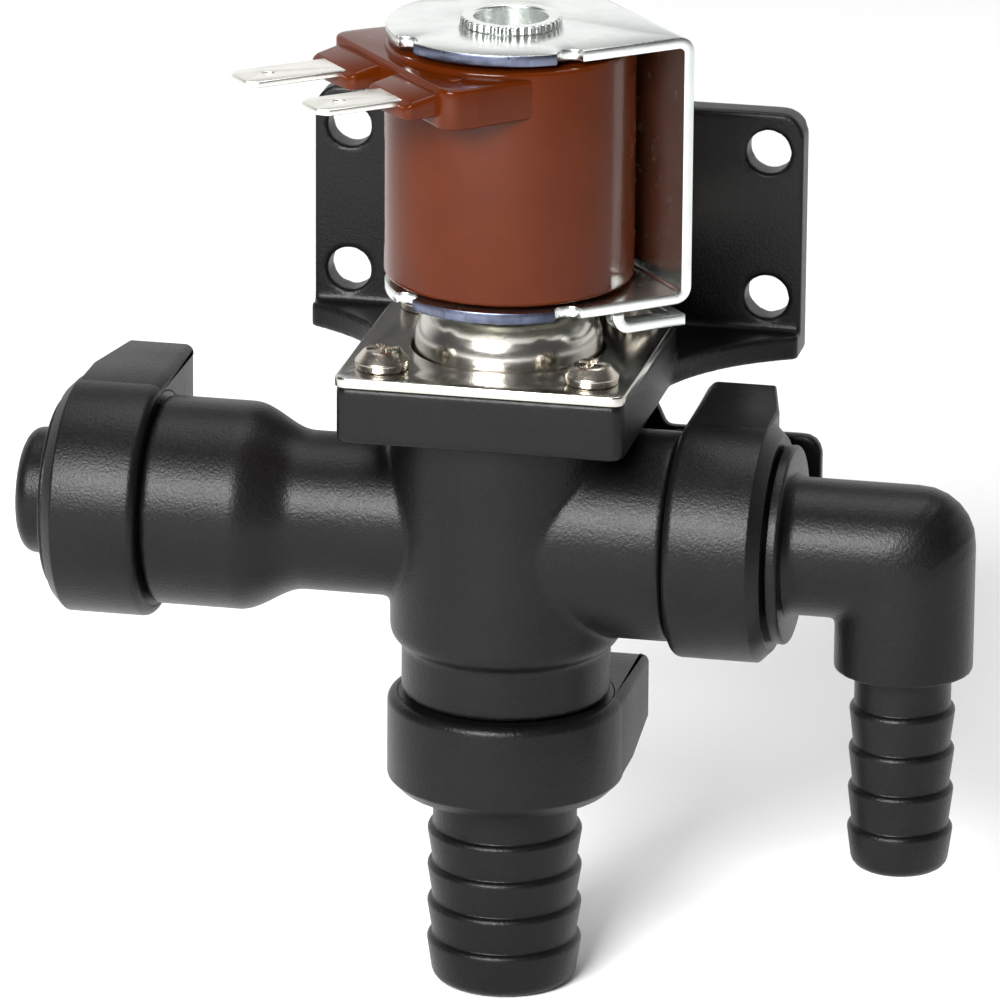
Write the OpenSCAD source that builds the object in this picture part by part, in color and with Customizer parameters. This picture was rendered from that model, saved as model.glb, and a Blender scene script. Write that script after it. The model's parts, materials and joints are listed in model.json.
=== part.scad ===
// Pilot-operated solenoid valve: moulded body with a wall bracket, three bayonet ports and a coil
// that turns on its guide tube. Millimetres.
// Inside the modules the origin is where the pipe axis crosses the valve axis, X to the right,
// Y to the back and Z up. in_place() then moves the row's origin to the centre of the bracket's
// hole pattern, on its back face. A port is drawn along its own Z, outwards from its collar.

/* [Barrel and flange block] */
// Outer radius of the vertical barrel
barrel_r = 15; // [14.5:0.1:17]
// Wall of the barrel round its annular chamber
barrel_wall = 3; // [2:0.1:3.5]
// Depth of the barrel's lower end below the pipe axis
barrel_drop = 15.6; // [14.6:0.1:18]
// Height of the annular chamber's floor below the pipe axis
chamber_drop = 9; // [8:0.1:9.2]
// Width of the flange block along the pipes
block_w = 37; // [36.6:0.1:46]
// Depth of the flange block from front to back
block_d = 37.6; // [36.8:0.1:42]
// Height of the flange block's underside above the pipe axis
block_z = 15.5; // [14:0.1:20]
// Height of the flange block
block_h = 7.4; // [6.6:0.1:9]
// Corner radius of the flange block
block_corner_r = 1.6; // [0.5:0.1:2.5]

/* [Bracket] */
// Distance from the valve axis to the bracket's front face
bracket_y = 30.4; // [28.6:0.1:36]
// Thickness of the bracket plate
bracket_t = 4.3; // [3:0.1:6]
// Width of the bracket plate
bracket_w = 64.8; // [62:0.2:90]
// Height of the bracket plate
bracket_h = 32.6; // [30:0.2:45]
// Corner radius at the bracket's top
bracket_corner_r = 3.3; // [1:0.1:5]
// Spacing of the bracket holes across
hole_pitch_x = 55.6; // [46:0.1:57]
// Spacing of the bracket holes up
hole_pitch_z = 19.6; // [16:0.1:22]
// Height of the hole pattern's centre above the bracket's lower edge
hole_rise = 17.5; // [15:0.1:21]
// Radius of the bracket holes
hole_r = 2.9; // [2:0.05:3.5]
// Thickness of the web between the block and the bracket
web_t = 3.3; // [3:0.1:5]
// Radius of the web's hollowed sides
web_side_r = 27.1; // [25:0.1:28]

/* [Ports] */
// Distance from the valve axis to the inlet collar's inner face
inlet_reach = 45.6; // [44:0.1:70]
// Distance from the valve axis to the elbow collar's inner face
elbow_reach = 22.7; // [22.4:0.1:40]
// Distance from the pipe axis to the barb collar's inner face
barb_reach = 22.5; // [21.6:0.1:35]
// Outer radius of the inlet's narrow pipe
inlet_pipe_r = 10.3; // [9.5:0.1:12]
// Radius of the flow passage in the pipes
passage_r = 7; // [5:0.1:8]
// Outer radius of a socket behind its collar
socket_r = 13.5; // [13.2:0.1:14.4]
// Outer radius of a socket under its collar
neck_r = 12; // [11.6:0.1:12.2]
// Radius of a socket's bore
socket_bore_r = 9.3; // [9:0.05:9.6]
// Length of a socket under its collar
neck_len = 8; // [7:0.1:8.2]
// Depth of a socket's bore behind the collar's inner face
socket_depth = 9.5; // [9:0.1:9.6]

/* [Locking collars] */
// Outer radius of a collar, and distance of its tab's flat face from the axis
collar_r = 15.3; // [14.9:0.05:17]
// Length of a collar
collar_len = 12.6; // [12:0.1:14]
// Inner radius of a collar between its ledge and its lip
collar_bore_r = 13.3; // [13.2:0.05:13.6]
// Bevel round the collar's outer rim
collar_bevel = 1.5; // [0.3:0.1:1.6]
// Reach of the collar's tab behind the axis
tab_reach = 18.6; // [16.5:0.1:20]
// Length of the tab along the collar
tab_len = 8.9; // [6:0.1:10]
// Number of bayonet lugs on a socket
lug_count = 3; // [2:1:3]
// Angle that each lug covers
lug_angle = 50; // [30:1:52]
// Turn that unlocks a collar
unlock_turn = 60; // [55:1:65]

/* [Inlet cartridge] */
// Radius of the cartridge's flange
cartridge_flange_r = 12.6; // [12:0.1:14]
// Thickness of the cartridge's flange
cartridge_flange_t = 0.75; // [0.6:0.05:2]
// Outer radius of the release sleeve
collet_r = 8.2; // [7.6:0.05:8.3]
// Outer radius of the plastic tube that the inlet takes
tube_r = 6; // [5:0.05:6.2]
// Length of the release sleeve outside the flange
collet_out = 4.3; // [3:0.1:7]
// Travel of the release sleeve
collet_travel = 2; // [1:0.1:2.2]

/* [Elbow fitting] */
// Radius of the elbow's flange
elbow_flange_r = 12.8; // [12:0.1:14]
// Gap between the elbow's flange and its collar
elbow_gap = 0.5; // [0.15:0.05:2]
// Outer radius of the elbow's pipe
elbow_pipe_r = 8.85; // [8:0.05:9.5]
// Outer radius of the elbow's leg, above its hose barbs
elbow_leg_r = 8.9; // [8.1:0.05:9.6]
// Distance from the elbow collar's outer face to the axis of the elbow's leg
elbow_out = 16.5; // [14.5:0.1:24]
// Depth of the leg's pipe part below the pipe axis
elbow_drop = 15.4; // [14:0.1:24]
// Radius that rounds the top of the elbow's leg
elbow_bend_r = 7.2; // [4:0.1:8]
// Largest radius of the elbow's hose barbs
small_barb_r = 6.8; // [6.5:0.05:7.5]
// Radius at the root of the elbow's hose barbs
small_root_r = 6.2; // [5.6:0.05:6.4]
// Distance between the elbow's hose barbs
small_pitch = 5.36; // [4.5:0.02:7]
// Radius of the elbow's bore
small_bore_r = 4.4; // [3.5:0.1:4.8]

/* [Straight fitting] */
// Radius of the straight fitting's flange
barb_flange_r = 11.6; // [11:0.1:14]
// Largest radius of the straight hose barbs
big_barb_r = 10.1; // [9.7:0.05:11]
// Radius at the root of the straight hose barbs
big_root_r = 9.3; // [8.9:0.05:9.6]
// Distance between the straight hose barbs
big_pitch = 5.03; // [4.5:0.01:7]
// Radius of the straight fitting's bore
big_bore_r = 6.6; // [5:0.1:7]
// Number of barbs on each hose tail
barb_count = 4; // [2:1:5]

/* [Cover plate and guide tube] */
// Thickness of the cover plate
plate_t = 1.3; // [0.8:0.1:2.5]
// Amount that the plate stands past the block's sides
plate_over = 0.2; // [0:0.1:1]
// Spacing of the cover screws along the pipes
screw_pitch_x = 27; // [26.8:0.1:28.4]
// Spacing of the cover screws from front to back
screw_pitch_y = 26.5; // [26:0.1:28.4]
// Radius of a cover screw's shank
screw_r = 1.75; // [1.2:0.05:1.9]
// Length of a cover screw's shank
screw_len = 8; // [5:0.1:8.2]
// Radius of a cover screw's head
screw_head_r = 3.5; // [3:0.1:3.8]
// Outer radius of the guide tube's bell
bell_r = 12; // [11:0.1:12.4]
// Height of the bell above the plate
bell_h = 6; // [5:0.1:6.6]
// Radius that rounds the bell's shoulder
bell_round_r = 2.6; // [1.5:0.1:3]
// Sheet thickness of the guide tube
tube_wall = 0.6; // [0.4:0.05:0.8]
// Outer radius of the guide tube
guide_r = 4.5; // [4.2:0.05:5]

/* [Coil and yoke] */
// Turn of the coil about the valve axis, from the pipes to the yoke's wall
coil_turn = 40; // [0:1:90]
// Outer radius of the coil
coil_r = 15.9; // [15:0.1:18]
// Height of the coil
coil_h = 30.5; // [27:0.1:40]
// Height of the yoke's underside above the cover plate
yoke_rise = 7.4; // [7:0.1:12]
// Thickness of the yoke's steel
yoke_t = 1.5; // [1:0.1:2]
// Gap between the coil and each arm of the yoke
coil_gap = 0.75; // [0.2:0.05:2]
// Half the yoke's width, and the radius of its round ends
yoke_end_r = 15.8; // [14:0.1:18]
// Gap between the coil and the yoke's wall
yoke_wall_gap = 0.35; // [0.2:0.05:3]
// Outer radius of the yoke's bends
yoke_bend_r = 2.2; // [1.8:0.1:4]
// Outer radius of the pole bushes
bush_r = 6.1; // [5.4:0.05:6.4]
// Radius of the serrated collar on the upper bush
knurl_r = 6.45; // [6.4:0.05:8]
// Height of the serrated collar
knurl_h = 1; // [0.5:0.1:2]
// Width of a terminal blade
blade_w = 6.3; // [4.8:0.1:6.3]
// Thickness of a terminal blade
blade_t = 0.8; // [0.5:0.1:1]
// Distance between the two terminals' centre lines
blade_pitch = 15.4; // [13:0.1:17]
// Distance from the valve axis to the front terminal's tip
front_blade_tip = 32.4; // [28:0.1:36]
// Distance from the valve axis to the rear terminal's tip
rear_blade_tip = 34.5; // [28:0.1:36]

/* [Pilot and diaphragm] */
// Lift of the armature
armature_travel = 2.5; // [1:0.1:3]
// Outer radius of the armature
armature_r = 3.8; // [3:0.05:3.85]
// Inner radius of the standpipe under the seat
seat_bore_r = 5.5; // [4:0.1:6]
// Wall of the standpipe
seat_wall = 1.9; // [1.2:0.1:2.4]
// Radius of the diaphragm's clamped rim
diaphragm_r = 14.3; // [14:0.05:14.5]
// Thickness of the diaphragm's clamped rim
rim_t = 2.4; // [1.5:0.1:2.6]

/* [Hidden] */
$fn = 96;
past = 0.5;            // how far a cut runs past the face it opens
seat_fit = 0.05;       // clearance between pieces that are fixed to each other
slide_fit = 0.08;      // radial clearance of a piece that turns or slides in another
free_gap = 0.2;        // clearance between moving faces that pass each other
moulding = "#1d1d1f";
steel = "#c9ced0";
zinc = "#d5dbdc";
brown = "#7d3a18";
rubber = "#101010";
copper = "#b5652a";

// Levels along the valve axis
chamber_r = barrel_r - barrel_wall;
block_top = block_z + block_h;
plate_top = block_top + plate_t;
tube_flange_t = 0.8;
ledge_z = block_top - tube_flange_t - rim_t;
seat_z = ledge_z - 0.6;
bell_top = plate_top + bell_h;
yoke_z = plate_top + yoke_rise;
coil_z = yoke_z + yoke_t + coil_gap;
coil_top = coil_z + coil_h;
arm_z = coil_top + coil_gap;
yoke_top = arm_z + yoke_t;
yoke_wall_u = coil_r + yoke_wall_gap;
core_top = yoke_top - 3;
core_len = 13;
core_z = core_top - core_len;
bush_bore_r = guide_r + slide_fit;
guide_bore_r = guide_r - tube_wall + 0.1;
bobbin_bore_r = bush_r + seat_fit;

// Bracket
bracket_back = bracket_y + bracket_t;
hole_z = block_z + hole_rise;

// Port layout, measured outwards from the collar's inner face
seam_gap = 0.25;                                 // between a socket's shoulder and its collar
ledge_len = 2.9;                                 // collar's inner ledge, which the lugs lock behind
ledge_r = neck_r + free_gap;
lug_at = ledge_len + free_gap;
lug_len = 2.8;
lug_r = collar_bore_r - 0.3;
lip_at = collar_len - 1.45;                      // collar's lip, which holds the fitting's shoulder
shoulder_at = neck_len + 0.15;
shoulder_r = 11.6;
waist_r = 9.5;                                   // fitting's waist, in the collar's lip
spigot_r = socket_bore_r - free_gap;
spigot_end = -socket_depth + 0.5;
ring_at = -7.4;                                  // sealing ring on a spigot
ring_h = 2.4;
ring_in_r = 7.9;

// Inlet cartridge, measured as the ports are
cartridge_face = collar_len + 0.15 + cartridge_flange_t;
collet_bore_r = collet_r + slide_fit;
collet_end = cartridge_face + collet_out;
collet_start = 3.9;
collet_floor = collet_start - collet_travel - 0.3;
seal_len = 2.7;
seal_at = collet_floor - seal_len;
seal_out_r = 8;
tube_stop = -4.6;
cartridge_bore_r = 5;
tube_bore_r = tube_r + 0.1;

module in_place() translate([0, -bracket_back, -hole_z]) children();
module coil_place() in_place() rotate([0, 0, coil_turn]) children();
module inlet_port() rotate([0, -90, 0]) translate([0, 0, inlet_reach]) children();
module elbow_port() rotate([90, 0, 90]) translate([0, 0, elbow_reach]) children();
module barb_port() rotate([180, 0, 90]) translate([0, 0, barb_reach]) children();

// Half-section of a disc, with its lower and upper outer corners rounded
module disc_section(r, h, low_r = 0, high_r = 0) {
    difference() {
        square([r, h]);
        if (high_r > 0)
            translate([r - high_r, h - high_r]) corner_cut(high_r);
        if (low_r > 0)
            translate([r - low_r, low_r]) mirror([0, 1]) corner_cut(low_r);
    }
}

module corner_cut(r) {
    difference() {
        square(r + past);
        circle(r);
    }
}

module round_disc(r, h, low_r = 0, high_r = 0) rotate_extrude() disc_section(r, h, low_r, high_r);

// A ring with square edges
module ring(outer_r, inner_r, h) {
    difference() {
        cylinder(r = outer_r, h = h);
        translate([0, 0, -past]) cylinder(r = inner_r, h = h + 2 * past);
    }
}

// A rectangle with rounded corners, centred on the origin
module round_rect(w, d, r) {
    square([w, d - 2 * r], center = true);
    square([w - 2 * r, d], center = true);
    for (x = [-1, 1], y = [-1, 1])
        translate([x * (w / 2 - r), y * (d / 2 - r)]) circle(r);
}

// A wedge of a disc, centred on the X axis
module sector(r, angle, h) {
    rotate([0, 0, -angle / 2]) rotate_extrude(angle = angle) square([r, h]);
}

module lug_pattern() for (i = [0 : lug_count - 1]) rotate([0, 0, i * 360 / lug_count]) children();

// Socket with its neck and bayonet lugs, back to a given length behind the collar
module socket(back) {
    translate([0, 0, -back]) cylinder(r = socket_r, h = back - seam_gap);
    translate([0, 0, -back]) cylinder(r = neck_r, h = back + neck_len);
    translate([0, 0, lug_at]) lug_pattern() sector(lug_r, lug_angle, lug_len);
}

module socket_bore() {
    translate([0, 0, -socket_depth]) cylinder(r = socket_bore_r, h = socket_depth + neck_len + past);
}

module screw_places() {
    for (x = [-1, 1], y = [-1, 1])
        translate([x * screw_pitch_x / 2, y * screw_pitch_y / 2, 0]) children();
}

// Valve body
inlet_step_len = 5.3;            // cone between the narrow pipe and the socket
inlet_socket_back = 12.8;       // length of the inlet's socket behind its collar
barrel_round_r = 2.4;
module body_barrel() {
    translate([0, 0, -barrel_drop])
        round_disc(barrel_r, barrel_drop + block_z + past, barrel_round_r);
    translate([0, 0, block_z]) linear_extrude(block_h) round_rect(block_w, block_d, block_corner_r);
}

module body_inlet() {
    inlet_port() {
        socket(inlet_socket_back);
        translate([0, 0, -inlet_socket_back - inlet_step_len])
            cylinder(r1 = inlet_pipe_r, r2 = socket_r, h = inlet_step_len);
        translate([0, 0, -inlet_reach]) cylinder(r = inlet_pipe_r, h = inlet_reach - inlet_socket_back);
    }
}

web_root = 1.6;                 // how far the web's hollowed sides run into the block
web_flare = 0.7;                // how far they run on behind the bracket's front face
module body_web() {
    side_x = block_w / 2 + web_side_r - web_root;
    side_y = bracket_y + web_flare - web_side_r;
    translate([0, 0, block_z]) linear_extrude(web_t) difference() {
        translate([-bracket_w / 2, side_y]) square([bracket_w, bracket_y - side_y + past]);
        for (x = [-1, 1]) translate([x * side_x, side_y]) circle(web_side_r);
    }
}

module bracket_outline() {
    side = bracket_w / 2 - bracket_corner_r;
    translate([-bracket_w / 2, 0]) square([bracket_w, bracket_h - bracket_corner_r]);
    translate([-side, 0]) square([2 * side, bracket_h]);
    for (x = [-1, 1]) translate([x * side, bracket_h - bracket_corner_r]) circle(bracket_corner_r);
}

module body_bracket() {
    translate([0, bracket_back, block_z]) rotate([90, 0, 0]) linear_extrude(bracket_t) bracket_outline();
}

// Plate behind the elbow's collar, which stops its tab turning back
stop_y = tab_reach + 0.4;
stop_t = 2;
stop_top = 8.4;
stop_low = -4;
stop_end = elbow_reach + collar_len + 2.1;
stop_round_r = 2.4;
module stop_outline() {
    start = chamber_r;
    translate([start, stop_low]) square([stop_end - start, stop_top - stop_round_r - stop_low]);
    translate([start, stop_low]) square([stop_end - stop_round_r - start, stop_top - stop_low]);
    translate([stop_end - stop_round_r, stop_top - stop_round_r]) circle(stop_round_r);
    polygon([[start, stop_low], [start, block_z + past], [start + 1.5, block_z + past],
             [start + 5, stop_top], [start + 5, stop_low]]);
}
module body_stop() {
    translate([0, stop_y + stop_t, 0]) rotate([90, 0, 0]) linear_extrude(stop_t) stop_outline();
    translate([chamber_r, chamber_r - 2, stop_low])
        cube([elbow_reach - 1 - chamber_r, stop_y - chamber_r + 3, stop_top - stop_low - 4]);
}

module body_hollows() {
    translate([0, 0, -chamber_drop]) cylinder(r = chamber_r, h = chamber_drop + ledge_z + past);
    translate([0, 0, ledge_z]) cylinder(r = diaphragm_r + seat_fit, h = block_top - ledge_z + past);
    inlet_port() socket_bore();
    elbow_port() socket_bore();
    barb_port() socket_bore();
    rotate([0, -90, 0]) cylinder(r = passage_r, h = inlet_reach);
    rotate([0, 90, 0]) cylinder(r = passage_r, h = elbow_reach);
    screw_places() translate([0, 0, plate_top - screw_len - seat_fit])
        cylinder(r = screw_r + seat_fit, h = screw_len);
    for (x = [-1, 1], z = [-1, 1])
        translate([x * hole_pitch_x / 2, bracket_y - past, hole_z + z * hole_pitch_z / 2])
            rotate([-90, 0, 0]) cylinder(r = hole_r, h = bracket_t + 2 * past);
}

module standpipe() {
    translate([0, 0, -barrel_drop]) ring(seat_bore_r + seat_wall, seat_bore_r, barrel_drop + seat_z);
}

module valve_body() {
    color(moulding) in_place() difference() {
        union() {
            difference() {
                union() {
                    body_barrel();
                    body_inlet();
                    elbow_port() socket(elbow_reach);
                    barb_port() socket(barb_reach - barrel_drop + barrel_round_r + past);
                    body_web();
                    body_bracket();
                    body_stop();
                }
                body_hollows();
            }
            standpipe();
        }
        translate([0, 0, -barrel_drop - past])
            cylinder(r = seat_bore_r, h = barrel_drop + seat_z + 2 * past);
        barb_port() socket_bore();
    }
}

// Cover plate and its screws
bell_hole_r = bell_r + 0.4;
module cover_plate() {
    color(steel) in_place() difference() {
        translate([0, 0, block_top]) linear_extrude(plate_t)
            round_rect(block_w + 2 * plate_over, block_d + 2 * plate_over, block_corner_r);
        translate([0, 0, block_top - past]) cylinder(r = bell_hole_r, h = plate_t + 2 * past);
        screw_places() translate([0, 0, block_top - past])
            cylinder(r = screw_r + seat_fit, h = plate_t + 2 * past);
    }
}

screw_head_h = 2.5;
recess_w = 1.1;
recess_span = 4;
recess_depth = 1.3;
module cover_screws() {
    color(steel) in_place() screw_places() difference() {
        union() {
            translate([0, 0, plate_top - screw_len + seat_fit]) cylinder(r = screw_r, h = screw_len);
            translate([0, 0, plate_top + seat_fit / 2])
                round_disc(screw_head_r, screw_head_h, 0, 1.6);
        }
        for (turn = [0, 90]) rotate([0, 0, turn])
            translate([-recess_span / 2, -recess_w / 2, plate_top + screw_head_h - recess_depth])
                cube([recess_span, recess_w, recess_depth + past]);
    }
}

// Guide tube: a flange under the plate, a bell through it and a narrow tube up the coil
module tube_section() {
    wall = 0.8;
    shoulder_z = bell_top - bell_round_r;
    translate([bell_r - wall, block_top - tube_flange_t])
        square([diaphragm_r - bell_r + wall, tube_flange_t]);
    translate([bell_r - wall, block_top - tube_flange_t])
        square([wall, shoulder_z - block_top + tube_flange_t]);
    translate([bell_r - bell_round_r, shoulder_z]) intersection() {
        difference() {
            circle(bell_round_r);
            circle(bell_round_r - wall);
        }
        square(bell_round_r);
    }
    translate([guide_bore_r, bell_top - wall]) square([bell_r - bell_round_r - guide_bore_r, wall]);
    translate([guide_bore_r, bell_top - wall])
        square([guide_r - guide_bore_r, core_top - bell_top + wall]);
}
module guide_tube() {
    color(steel) in_place() rotate_extrude() tube_section();
}

core_r = guide_bore_r - seat_fit;
core_dimple_r = 2.2;
module fixed_core() {
    color(steel) in_place() difference() {
        translate([0, 0, core_z]) round_disc(core_r, core_len, 0, 0.5);
        translate([0, 0, core_top - 1.5]) cylinder(r = core_dimple_r, h = 1.5 + past);
    }
}

// Pilot: armature, its rubber face, its spring, and the diaphragm with its rigid centre
rubber_t = 1.6;                                  // diaphragm over the seat
insert_z = seat_z + rubber_t;
insert_r = 7.5;
insert_t = 1.6;
pilot_r = 0.75;
pilot_z = insert_z + insert_t + 1.8;             // pilot seat on the insert
armature_z = pilot_z + 0.8;
armature_top = core_z - armature_travel - 0.2;
spring_out_r = 2.2;
spring_wire_r = 0.3;
spring_hole_depth = 8;
spring_z = armature_top - spring_hole_depth;
face_r = 2.3;
face_seat_depth = 2;
module armature() {
    color(steel) in_place() difference() {
        translate([0, 0, armature_z])
            round_disc(armature_r, armature_top - armature_z, 0.4, 0.4);
        translate([0, 0, spring_z])
            cylinder(r = spring_out_r + free_gap, h = spring_hole_depth + past);
        translate([0, 0, armature_z - past])
            cylinder(r = face_r + seat_fit, h = face_seat_depth + seat_fit + past);
        for (side = [0, 180]) rotate([0, 0, side])
            translate([armature_r - 0.6, -0.6, armature_z - past])
                cube([1, 1.2, armature_top - armature_z + 2 * past]);
    }
}

module armature_seal() {
    color(rubber) in_place() translate([0, 0, pilot_z])
        cylinder(r = face_r, h = armature_z - pilot_z + face_seat_depth);
}

spring_turns = 9;
spring_steps = 12;
module armature_spring() {
    height = core_z - spring_z - 2 * spring_wire_r;
    path_r = spring_out_r - spring_wire_r;
    side = 6;
    count = spring_turns * spring_steps;
    ring_pts = [for (i = [0 : count], j = [0 : side - 1])
        let (a = 360 * i / spring_steps, b = 360 * j / side, r = path_r + spring_wire_r * cos(b))
        [r * cos(a), r * sin(a), height * i / count + spring_wire_r * sin(b)]];
    sides = [for (i = [0 : count - 1], j = [0 : side - 1])
        let (k = (j + 1) % side)
        [i * side + k, (i + 1) * side + k, (i + 1) * side + j, i * side + j]];
    first = [for (j = [0 : side - 1]) j];
    last = [for (j = [side - 1 : -1 : 0]) count * side + j];
    color(steel) in_place() translate([0, 0, spring_z + spring_wire_r])
        polyhedron(points = ring_pts, faces = concat(sides, [first, last]), convexity = 10);
}

web_rubber_t = 1;
hub_r = 8.6;
stem_r = 2;
bleed_r = 0.4;
bleed_at = 10.6;
module diaphragm() {
    color(rubber) in_place() difference() {
        union() {
            translate([0, 0, ledge_z]) ring(diaphragm_r, chamber_r - 0.5, rim_t);
            translate([0, 0, ledge_z + 0.2]) cylinder(r = chamber_r, h = web_rubber_t);
            translate([0, 0, seat_z]) cylinder(r = hub_r, h = rubber_t);
        }
        translate([0, 0, insert_z]) cylinder(r = insert_r + seat_fit, h = rim_t);
        translate([0, 0, seat_z - past]) cylinder(r = stem_r + seat_fit, h = rim_t + past);
        translate([bleed_at, 0, ledge_z - past]) cylinder(r = bleed_r, h = rim_t + 2 * past);
    }
}

module diaphragm_insert() {
    color("#d8d8cf") in_place() difference() {
        union() {
            translate([0, 0, insert_z]) round_disc(insert_r, insert_t, 0, 0.4);
            translate([0, 0, insert_z]) cylinder(r1 = 3.4, r2 = 1.8, h = pilot_z - insert_z);
            translate([0, 0, seat_z - 2]) cylinder(r = stem_r, h = insert_z - seat_z + 2 + past);
        }
        translate([0, 0, seat_z - 2 - past]) cylinder(r = pilot_r, h = pilot_z - seat_z + 2 + 2 * past);
    }
}

// Yoke: two arms with round ends and a wall, bent from one strip
notch_r = 1.8;
notch_angles = [184.5, 90, -90];
module yoke_plan() {
    difference() {
        union() {
            circle(yoke_end_r);
            translate([0, -yoke_end_r]) square([yoke_wall_u + yoke_t, 2 * yoke_end_r]);
        }
        for (a = notch_angles) rotate([0, 0, a]) translate([yoke_end_r + 0.2, 0]) circle(notch_r);
    }
}

// Rectangle from the left edge to a wall, with its two far corners rounded
module channel_section(right, low, high, r) {
    left = -yoke_end_r - past;
    translate([left, low]) square([right - r - left, high - low]);
    translate([left, low + r]) square([right - left, high - low - 2 * r]);
    for (z = [low + r, high - r]) translate([right - r, z]) circle(r);
}

module yoke() {
    color(zinc) coil_place() difference() {
        intersection() {
            rotate([90, 0, 0]) linear_extrude(2 * yoke_end_r, center = true) difference() {
                channel_section(yoke_wall_u + yoke_t, yoke_z, yoke_top, yoke_bend_r);
                channel_section(yoke_wall_u, yoke_z + yoke_t, arm_z, yoke_bend_r - yoke_t);
                translate([-yoke_end_r - 2, yoke_z + yoke_t]) square([4, arm_z - yoke_z - yoke_t]);
            }
            translate([0, 0, yoke_z - past]) linear_extrude(yoke_top - yoke_z + 2 * past) yoke_plan();
        }
        translate([0, 0, yoke_z - past])
            cylinder(r = bush_r + seat_fit, h = yoke_top - yoke_z + 2 * past);
    }
}

knurl_teeth = 30;
knurl_depth = 0.35;
upper_bush_len = 14;
module upper_pole_bush() {
    color(zinc) coil_place() difference() {
        union() {
            translate([0, 0, yoke_top - upper_bush_len]) cylinder(r = bush_r, h = upper_bush_len);
            translate([0, 0, yoke_top]) cylinder(r = knurl_r, h = knurl_h);
        }
        for (i = [0 : knurl_teeth - 1]) rotate([0, 0, i * 360 / knurl_teeth])
            translate([knurl_r - knurl_depth, -0.3, yoke_top - past / 2]) cube([1, 0.6, knurl_h + past]);
        translate([0, 0, yoke_top - upper_bush_len - past])
            cylinder(r = bush_bore_r, h = upper_bush_len + knurl_h + 2 * past);
    }
}

lower_bush_len = 13;
module lower_pole_bush() {
    color(zinc) coil_place() translate([0, 0, yoke_z]) ring(bush_r, bush_bore_r, lower_bush_len);
}

// Coil: bobbin, winding and the moulding over both
skin_t = 1.2;                    // moulding over the bobbin's ends
bobbin_flange_r = coil_r - 2.6;
bobbin_wall = 1;
flange_t = 1.2;
bobbin_h = coil_h - 2 * skin_t;
module coil_bobbin() {
    color("#3a3a38") coil_place() translate([0, 0, coil_z + skin_t]) difference() {
        union() {
            cylinder(r = bobbin_bore_r + bobbin_wall, h = bobbin_h);
            for (z = [0, bobbin_h - flange_t])
                translate([0, 0, z]) cylinder(r = bobbin_flange_r, h = flange_t);
        }
        translate([0, 0, -past]) cylinder(r = bobbin_bore_r, h = bobbin_h + 2 * past);
    }
}

winding_out_r = bobbin_flange_r - 0.6;
module coil_winding() {
    color(copper) coil_place() translate([0, 0, coil_z + skin_t + flange_t + seat_fit])
        ring(winding_out_r, bobbin_bore_r + bobbin_wall + seat_fit, bobbin_h - 2 * flange_t - 2 * seat_fit);
}

// Terminal head: a block across the coil's top, with two sloping lobes that carry the blades
head_u = 17.5;
head_h = 6;
head_corner_r = 1.8;
lobe_u = 22.2;
lobe_w = 11.4;
lobe_top_drop = 1.1;
lobe_tip_drop = 2.5;
blade_z = coil_top - 2.9;
blade_root_u = 15;
module head_block() {
    translate([0, 0, coil_top - head_h]) linear_extrude(head_h) {
        translate([-head_u, -coil_r + head_corner_r]) square([head_u, 2 * (coil_r - head_corner_r)]);
        translate([-head_u + head_corner_r, -coil_r]) square([head_u - head_corner_r, 2 * coil_r]);
        for (v = [-1, 1])
            translate([-head_u + head_corner_r, v * (coil_r - head_corner_r)]) circle(head_corner_r);
    }
}
module head_lobe() {
    low = coil_top - 4.6;
    rotate([90, 0, 0]) linear_extrude(lobe_w, center = true)
        polygon([[-head_u + 4, low], [-head_u + 4, coil_top - lobe_top_drop],
                 [-head_u, coil_top - lobe_top_drop], [-lobe_u, coil_top - lobe_tip_drop],
                 [-lobe_u, low]]);
}
module coil_overmould() {
    color(brown) coil_place() difference() {
        union() {
            translate([0, 0, coil_z]) round_disc(coil_r, coil_h, 0.8, 0.5);
            difference() {
                head_block();
                translate([-head_u - 1, -coil_r - 1, coil_top - lobe_top_drop])
                    cube([head_u - yoke_end_r + 3.5, 2 * coil_r + 2, 4]);
            }
            for (side = [-1, 1]) translate([0, side * blade_pitch / 2, 0]) head_lobe();
        }
        translate([0, 0, coil_z - past]) cylinder(r = bobbin_bore_r, h = coil_h + 2 * past);
        translate([0, 0, coil_z + skin_t - seat_fit])
            cylinder(r = bobbin_flange_r + seat_fit, h = bobbin_h + 2 * seat_fit);
        for (side = [-1, 1]) translate([0, side * blade_pitch / 2, 0]) blade_slot();
    }
}

module blade_slot() {
    translate([-lobe_u - past, -blade_w / 2 - seat_fit, blade_z - blade_t / 2 - seat_fit])
        cube([lobe_u + past - blade_root_u + seat_fit, blade_w + 2 * seat_fit, blade_t + 2 * seat_fit]);
}

blade_hole_r = 0.85;
blade_tip_cut = 1.2;
module blade(tip) {
    difference() {
        translate([0, 0, blade_z - blade_t / 2]) linear_extrude(blade_t)
            polygon([[-blade_root_u, -blade_w / 2], [-blade_root_u, blade_w / 2],
                     [-tip + blade_tip_cut, blade_w / 2], [-tip, blade_w / 2 - blade_tip_cut],
                     [-tip, -blade_w / 2 + blade_tip_cut], [-tip + blade_tip_cut, -blade_w / 2]]);
        translate([-tip + 4.2, 0, blade_z - 0.1]) cylinder(r1 = 0.4, r2 = blade_hole_r, h = blade_t);
    }
}
module terminal_front() {
    color(zinc) coil_place() translate([0, -blade_pitch / 2, 0]) blade(front_blade_tip);
}
module terminal_rear() {
    color(zinc) coil_place() translate([0, blade_pitch / 2, 0]) blade(rear_blade_tip);
}

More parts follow.
